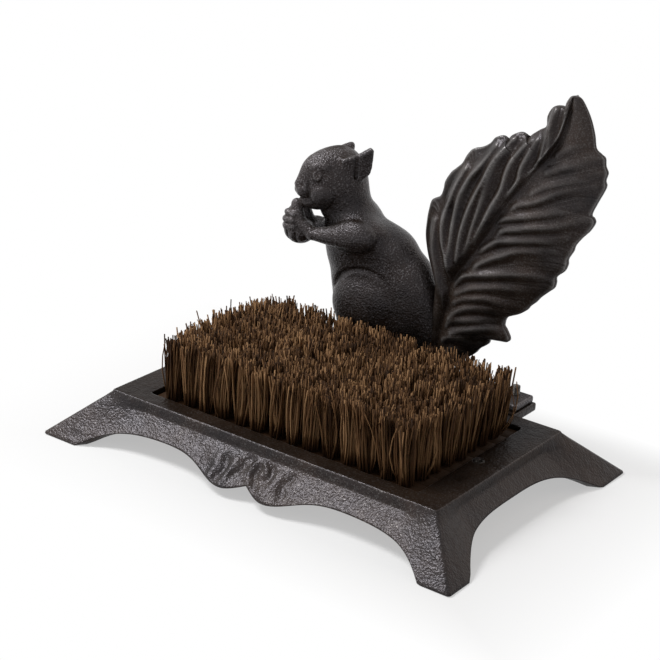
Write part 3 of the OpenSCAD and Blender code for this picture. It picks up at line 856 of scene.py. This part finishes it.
# Tail, a leaf of locks that sweep from a midrib to a lobed edge, drawn as lines of x and z
tail = {
    "mid": [(20, 0), (23, 22), (25, 36), (27, 50), (29, 64), (33, 76), (40, 87), (46, 96), (52, 106), (58, 117),
            (63, 127), (69, 137), (77, 148), (84, 158), (92, 168), (98, 178), (103, 192), (106, 212)],
    "left": [(8, 10), (12, 40), (15, 60), (15, 69), (9, 80), (5, 95), (5, 107), (6, 115), (8, 122), (14, 126),
             (16, 131), (17, 137), (21, 144), (24, 147), (29, 152), (32, 158), (36, 163), (41, 165), (45, 167),
             (49, 170), (52, 174), (56, 176), (59, 176), (61, 174), (64, 178), (69, 181), (73, 181), (75, 178),
             (79, 182), (84, 186), (88, 189), (88, 195), (90, 200), (93, 203), (98, 204), (99.5, 203.5), (100.5, 207),
             (103, 211), (106, 212)],
    "right": [(38, 12), (50, 22), (54, 27), (60, 32), (62, 36), (69, 37), (75, 38), (76, 41), (73, 46), (71, 49),
              (73, 55), (82, 60), (87, 64), (89, 67), (93, 71), (96, 75), (101, 80), (105, 84), (106, 88), (106, 92),
              (111, 97), (113, 102), (113, 106), (116, 112), (117, 116), (121, 122), (126, 128), (129, 134),
              (128, 137), (126, 139), (129, 147), (133, 156), (134, 160), (133, 163), (134, 168), (132, 172),
              (131, 177), (128, 179), (124, 182), (122, 190), (118.5, 199), (114, 206.5), (110, 211), (106, 212)],
    "valley": 5.0, "puff": 14.5, "edge": 1.5,
    "rows": 380, "stepsAcross": 42,
    "leftWidth": 2.9, "rightWidth": 3.0, "leftRise": 1.7, "leftHold": 0.4, "rightHold": 0.0, "fine": 0.1,
    "leftLocks": [  # height, then the ridge of each lock from the midrib outwards
        (1.8, [(29, 48), (28, 55), (23, 66), (20, 76), (16, 87), (14, 98), (14, 110)]),
        (2.6, [(31, 73), (29, 85), (24, 97), (22, 109), (23, 119), (26, 128), (30, 141), (34, 150)]),
        (2.3, [(32, 75), (30, 90), (30, 104), (31, 118), (33, 131), (36, 139), (40, 147), (46, 155), (55, 170)]),
        (2.7, [(35, 79), (36, 95), (38, 110), (42, 125), (47, 138), (51, 147), (55, 158), (60, 167), (67, 177)]),
        (2.2, [(38, 83), (42, 98), (46, 115), (51, 133), (55, 148), (58, 157), (61, 164), (66, 170)]),
        (2.7, [(45, 94), (50, 109), (57, 128), (64, 142), (67, 155), (70, 164), (75, 172), (80, 179)]),
        (2.6, [(52, 104), (59, 123), (68, 137), (75, 150), (77, 160), (81, 170), (85, 180)]),
        (2.5, [(68, 135), (78, 148), (86, 158), (89, 166), (91, 177), (92, 189)]),
        (2.6, [(80, 152), (88, 162), (94, 172), (95, 183), (94, 194), (95, 202)]),
        (2.2, [(94, 170), (100, 181), (103, 194), (104, 204)]),
        (1.6, [(100, 180), (106, 192), (108, 202), (109, 208)]),
    ],
    "rightLocks": [
        (2.2, [(26, 26), (32, 31), (41, 33), (54, 34)]),
        (1.8, [(31, 34), (46, 40), (62, 45), (74, 45)]),
        (1.5, [(27, 36), (34, 43), (42, 46), (57, 50), (72, 52)]),
        (1.8, [(28, 41), (35, 49), (42, 54), (50, 57), (60, 58), (76, 58)]),
        (1.8, [(32, 55), (41, 61), (50, 64), (60, 66), (70, 65), (84, 66)]),
        (2.0, [(32, 61), (39, 66), (49, 71), (63, 75), (74, 77), (97, 79)]),
        (3.2, [(31, 66), (35, 72), (40, 77), (47, 80), (58, 83), (73, 87), (88, 90), (102, 92)]),
        (2.5, [(46, 83), (52, 89), (61, 95), (69, 99), (78, 104), (90, 107), (104, 109)]),
        (2.5, [(48, 96), (52, 99), (59, 104), (65, 108), (76, 111), (89, 114), (103, 117), (112, 120)]),
        (2.3, [(62, 111), (68, 116), (77, 119), (89, 123), (102, 126), (120, 134), (128, 138)]),
        (2.3, [(57, 116), (61, 121), (68, 124), (77, 127), (89, 131), (105, 137), (118, 143)]),
        (2.2, [(70, 130), (76, 135), (86, 139), (95, 144), (107, 151), (127, 158)]),
        (1.6, [(82, 143), (96, 152), (113, 159), (131, 166)]),
        (1.5, [(91, 159), (105, 166), (119, 172), (130, 177)]),
        (1.2, [(97, 172), (108, 179), (121, 185)]),
    ],
}


def smoothPath(spots, places):
    # a curve through the spots, evenly parted by length
    spots = np.array(spots, float)
    padded = np.concatenate([[2 * spots[0] - spots[1]], spots, [2 * spots[-1] - spots[-2]]])
    length = np.concatenate([[0], np.cumsum(np.linalg.norm(np.diff(spots, axis=0), axis=1))])
    number = np.interp(places * length[-1], length, np.arange(len(spots)))
    low = np.minimum(number.astype(int), len(spots) - 2)
    k = (number - low)[:, None]
    a, b, c, d = (padded[low + n] for n in range(4))
    return 0.5 * (2 * b + (c - a) * k + (2 * a - 5 * b + 4 * c - d) * k ** 2 + (3 * b - a - 3 * c + d) * k ** 3)


def lockRelief(x, z, side):
    lift, order, weight = 0, 0, 0
    for number, (height, line) in enumerate(tail[side + "Locks"]):
        far, along = nearLine(x, z, smoothPath(line, np.linspace(0, 1, 25)))
        fade = np.clip(along / 0.12 + 0.3, 0, 1) * np.clip((1 + tail[side + "Hold"] - along) / 0.6, 0.15, 1)
        lift = lift + height * fade * np.exp(-(far / tail[side + "Width"]) ** 2)
        near = 1 / (far ** 2 + 1) ** 2
        order, weight = order + number * near, weight + near
    return lift + tail["fine"] * np.cos(6 * np.pi * order / weight)


def buildTail():
    places = np.linspace(0, 1, tail["rows"])
    mid, left, right = (smoothPath(tail[key], places) for key in ("mid", "left", "right"))
    shares = np.linspace(-1, 1, 2 * tail["stepsAcross"] + 1)
    reach = np.abs(shares)[None, :]
    onLeft = (shares < 0)[None, :]
    target = np.where(onLeft[..., None], left[:, None, :], right[:, None, :])
    spot = mid[:, None, :] * (1 - reach[..., None]) + target * reach[..., None]
    x, z = spot[..., 0], spot[..., 1]
    bend = tail["edge"] - tail["valley"] - tail["puff"]
    half = tail["valley"] + tail["puff"] * reach + bend * reach ** 2
    late = np.clip((places - 0.6) / 0.4, 0, 1)[:, None]
    half = half * (1 - 0.55 * late)
    leftLift, rightLift = (lockRelief(x, z, side) for side in ("left", "right"))
    fade = np.clip(reach / 0.1, 0, 1) * np.clip((1 - reach) / 0.08, 0.2, 1) * (1 - 0.35 * late)
    half = np.maximum(half + (np.where(onLeft, tail["leftRise"] * leftLift, rightLift) - 0.6) * fade, 0.5)
    front = np.stack([x, -half, z], -1)
    back = np.stack([x, half, z], -1)
    rows, across = half.shape
    points = np.concatenate([front, back[:, ::-1]], 1)
    ring = points.shape[1]
    faces = bands(rows, ring)
    for end, turn in ((0, -1), ((rows - 1) * ring, 1)):
        for k in range(across - 1):
            quad = (end + k, end + k + 1, end + ring - 2 - k, end + ring - 1 - k)
            faces.append(quad[::turn])
    return points.reshape(-1, 3) + figure["base"], faces


addPiece("tailCasting", *buildTail(), tailSkin, "tail_iron", "squirrel_tail")
print("tail built")


# Brush
brush = {
    "rows": 9, "tufts": 14, "rowPitch": 13.333, "tuftPitch": 14.8, "seed": 300,
    "board": ((-120, -65, 14), (120, 65, 26)), "boardRound": 1.5,
    "backing": (105.5, 60, 26, 29), "backingTone": 0.02,
    "root": 28.5, "tip": 71.3, "fibres": 60,
    "rootSpread": 5.0, "tipSpread": 5.7, "thick": 0.72, "thickRange": (0.6, 1.2),
    "shift": 0.6, "lean": 1.5, "scatter": 1.8, "tuftTop": 0.9, "top": (-0.7, 1.9), "topRange": (-8, 2.6),
    "strays": 0.07, "strayScatter": 3.2, "strayTop": (-6, 3.2), "bow": 1.1, "strayBow": 2.5, "tone": 0.12,
    "rings": 5, "sides": 3, "corner": 0.035, "ends": ((-108.5, 103.5), (-62, 61)), "leftLean": 3.5,
}


def buildRow(row):
    spec, rng = brush, np.random.default_rng(brush["seed"] + row)
    place = row - (spec["rows"] - 1) / 2
    sideX, sideY, low, high = spec["backing"]
    slicePitch = 2 * sideY / spec["rows"]
    slab = easedBlock((-sideX, (place - 0.5) * slicePitch, low), (sideX, (place + 0.5) * slicePitch, high), 0.3, 1)
    total, tufts = spec["tufts"] * spec["fibres"], spec["tufts"]
    tuft = np.repeat(np.arange(tufts), spec["fibres"])
    pitch = spec["tuftPitch"] * (1 - spec["corner"] * (abs(place) / 4) ** 3)
    centre = np.stack([(tuft - (tufts - 1) / 2) * pitch, np.full(total, place * spec["rowPitch"])], 1)
    shift = rng.normal(0, spec["shift"], (tufts, 2))[tuft]
    lean = rng.normal(0, spec["lean"], (tufts, 2))[tuft]
    lean[:, 0] -= spec["leftLean"] * np.clip((-centre[:, 0] - 70) / 30, 0, 1)
    far, turn = np.sqrt(rng.random(total)), rng.random(total) * 2 * np.pi
    way = np.stack([np.cos(turn), np.sin(turn)], 1) * far[:, None]
    foot = centre + shift + spec["rootSpread"] * way
    end = centre + lean + spec["tipSpread"] * way + rng.normal(0, spec["scatter"], (total, 2))
    tuftTop = rng.normal(0, spec["tuftTop"], tufts)[tuft]
    top = spec["tip"] + tuftTop + np.clip(rng.normal(*spec["top"], total), *spec["topRange"])
    stray = rng.random(total) < spec["strays"]
    end = np.where(stray[:, None], end + rng.normal(0, spec["strayScatter"], (total, 2)), end)
    top = np.where(stray, top + rng.uniform(*spec["strayTop"], total), top)
    for axis in (0, 1):
        over = end[:, axis] - np.clip(end[:, axis], *spec["ends"][axis])
        end[:, axis] -= over * np.where(stray, 0.3, 0.85)
    bow = rng.normal(0, spec["bow"], (total, 2)) * np.where(stray, spec["strayBow"], 1)[:, None]
    thick = spec["thick"] * rng.uniform(*spec["thickRange"], total)
    twist = rng.random(total) * 2 * np.pi
    tone = np.clip(rng.random(total) + rng.normal(0, spec["tone"], tufts)[tuft], 0, 1)
    rings, sides = [], spec["sides"]
    marks = np.linspace(0, 1, spec["rings"])
    for mark in marks:
        axis = foot + (end - foot) * mark ** 1.35 + bow * math.sin(math.pi * mark)
        height = spec["root"] + (top - spec["root"]) * mark
        radius = thick * (1.05 - 0.3 * mark)
        for k in range(sides):
            angle = twist + 2 * np.pi * k / sides
            x, y = axis[:, 0] + radius * np.cos(angle), axis[:, 1] + radius * np.sin(angle)
            rings.append(np.stack([x, y, height], 1))
    fibres = np.stack(rings, 1)  # fibre, point, place
    each = fibres.shape[1]
    one = bands(spec["rings"], sides) + [tuple(range(each - sides, each))]
    faces = [tuple(base + i for i in face) for base in range(0, total * each, each) for face in one]
    points, faces = joinParts([slab, (fibres.reshape(-1, 3), faces)])
    block = len(slab[0])
    colours = np.zeros((len(points), 4), np.float32)
    colours[:, 3] = 1
    # the backing keeps along at zero, so it takes the painted shade of the roots
    colours[:block, 0] = spec["backingTone"]
    colours[block:, 0] = np.repeat(tone, each)
    colours[block:, 1] = np.tile(np.repeat(marks, sides), total)
    piece = addPiece("coirRow%d" % (row + 1), points, faces, coirSkin, "coir", "bristle_row_%d" % (row + 1))
    layer = piece.data.color_attributes.new("strand", "FLOAT_COLOR", "POINT")
    layer.data.foreach_set("color", colours.ravel())


for row in range(brush["rows"]):
    buildRow(row)
addPiece("brushBoard", *easedBlock(*brush["board"], brush["boardRound"]), woodSkin, "wood", "brush_board")
print("brush built")


# Screws, washers and the pin
hardware = {
    "figureScrews": (81, 95.5), "seat": 24.8, "headLow": 20.8, "tip": 43, "radius": 3, "pitch": 1.0, "threadDepth": 0.5,
    "washer": (3.2, 6.2, 24.8, 26), "washerEase": 0.2,
    "brushScrew": (112, 0), "brushHead": (29.2, 30.2), "brushShank": (17, 29.6, 2.0, 1.8, 0.6),
    "pin": (2, 36, 26, 2.5), "pinEase": 0.4,
}


def bothEnds(place, build):
    return joinParts([part for side in (-1, 1) for part in build((side * place[0], place[1]))])


def figureScrew(spot):
    spec = hardware
    low, seat = spec["headLow"], spec["seat"]
    head = [(0, low), (4.5, low), (5.2, low + 0.6), (5.25, seat - 0.3), (5.1, seat), (0, seat)]
    shank = threadedShank(spot, seat - 0.2, spec["tip"], spec["radius"], spec["pitch"], spec["threadDepth"])
    return [lathe(head, spot, 48, 6), shank]


def figureWasher(spot):
    inner, outer, low, high = hardware["washer"]
    ease, turn = hardware["washerEase"], fullTurn(48)
    profile = [(inner, low), (outer - ease, low), (outer, low + ease),
               (outer, high - ease), (outer - ease, high), (inner, high)]
    points = np.concatenate([ringAt(spot, radius, height, turn) for radius, height in profile])
    return [(points, bands(len(profile), len(turn), True))]


def brushScrew(spot):
    # the recess of the head is a four-armed star that narrows downwards
    turn = fullTurn(64)
    star = 0.55 + 0.45 * np.abs(np.cos(2 * turn)) ** 6
    profile = [(2.0, 29.2), (3.95, 31.55), (3.95, 31.8), (2.4 * star, 31.85), (2.2 * star, 31.6), (1.4 * star, 30.4)]
    rings = [ringAt(spot, reach, height, turn) for reach, height in profile]
    return [closeTube(rings, spot, *hardware["brushHead"]), threadedShank(spot, *hardware["brushShank"])]


def buildPin():
    start, end, height, radius = hardware["pin"]
    ease = hardware["pinEase"]
    points, faces = lathe([(0, start), (radius - ease, start), (radius, start + ease), (radius, end - ease),
                           (radius - ease, end), (0, end)], (0, 0), 32)
    return np.stack([points[:, 2], points[:, 1], height - points[:, 0]], 1) + figure["base"], faces


addPiece("figureScrews", *bothEnds(hardware["figureScrews"], figureScrew), boltSkin, "steel", "figure_screws")
addPiece("figureWashers", *bothEnds(hardware["figureScrews"], figureWasher), boltSkin, "steel", "figure_washers")
addPiece("brushScrews", *bothEnds(hardware["brushScrew"], brushScrew), blackSkin, "steel", "brush_screws")
addPiece("tailPin", *buildPin(), boltSkin, "steel", "tail_pin")
print("hardware built")


# Floor and light
studio = {
    "floor": 30000, "floorWhite": 0.46, "floorTone": (0.8, 0.8, 0.8, 1),
    "squeeze": 0.66, "plainFrom": 0.1, "plainAt": 0.16,  # plain white outside the feet
    "ambient": (0.2, 0.2, 0.2), "aim": (0, 0, 0.08),
    "lamps": {
        "keyLamp": {"way": (-0.53, -0.24, 0.81), "far": 1.3, "size": 0.5, "power": 17.5, "colour": (1.0, 1.0, 1.0)},
        "fillLamp": {"way": (0.5, 0.72, 0.48), "far": 1.5, "size": 1.2, "power": 1.8, "colour": (1.0, 0.72, 0.48)},
        "frontLamp": {"way": (-0.5, -0.76, 0.42), "far": 1.5, "size": 1.0, "power": 1.8, "colour": (1.0, 0.98, 0.98)},
    },
}


def seenRays(wire):
    # one where the ray comes from the camera, a reflection or a clear piece
    kinds = ("Camera", "Glossy", "Transmission")
    camera, gloss, clear = (wire.node("LightPath", out="Is %s Ray" % kind) for kind in kinds)
    return wire.sum("MAXIMUM", wire.sum("MAXIMUM", camera, gloss), clear)


def makeFloor():
    half, least = studio["floor"] / 2, studio["floorWhite"]
    corners = [(-half, -half, 0), (half, -half, 0), (half, half, 0), (-half, half, 0)]
    mesh = makeMesh("studioFloor", corners, [(0, 1, 2, 3)])
    floor = addObject("studioFloor", mesh)
    material, wire, place = startFinish("whiteFloor")
    matt = wire.node("BsdfDiffuse", {"Color": studio["floorTone"]})
    plain = wire.node("Emission", {"Color": (1, 1, 1, 1), "Strength": 1.0})
    x, y = axisSizes(place, "XY")
    far = wire.sum("MAXIMUM", x * studio["squeeze"], y)
    white = least + (1 - least) * ramp(far, studio["plainFrom"], studio["plainAt"])
    shown = wire.node("MixShader", {0: seenRays(wire) * white, 1: matt, 2: plain})
    wire.node("OutputMaterial", {"Surface": shown})
    mesh.materials.append(material)


def makeWorld():
    world = bpy.data.worlds.new("studioWorld")
    bpy.context.scene.world = world
    world.use_nodes = True
    world.node_tree.nodes.clear()
    wire = Wire(world.node_tree)
    tone = mixColour(seenRays(wire), studio["ambient"], (1, 1, 1))
    wire.node("OutputWorld", {"Surface": wire.node("Background", {"Color": tone, "Strength": 1.0})})


def makeLamp(name, spec):
    data = bpy.data.lights.new(name, "AREA")
    data.shape, data.size = "SQUARE", spec["size"]
    data.energy, data.color = spec["power"], spec["colour"]
    lamp = addObject(name, data)
    way = Vector(spec["way"]).normalized()
    lamp.location = Vector(studio["aim"]) + way * spec["far"]
    lamp.rotation_euler = way.to_track_quat("Z", "Y").to_euler()


makeFloor()
makeWorld()
for lampName, lampSpec in studio["lamps"].items():
    makeLamp(lampName, lampSpec)
bpy.context.scene.view_settings.view_transform = "Standard"
print("studio ready")
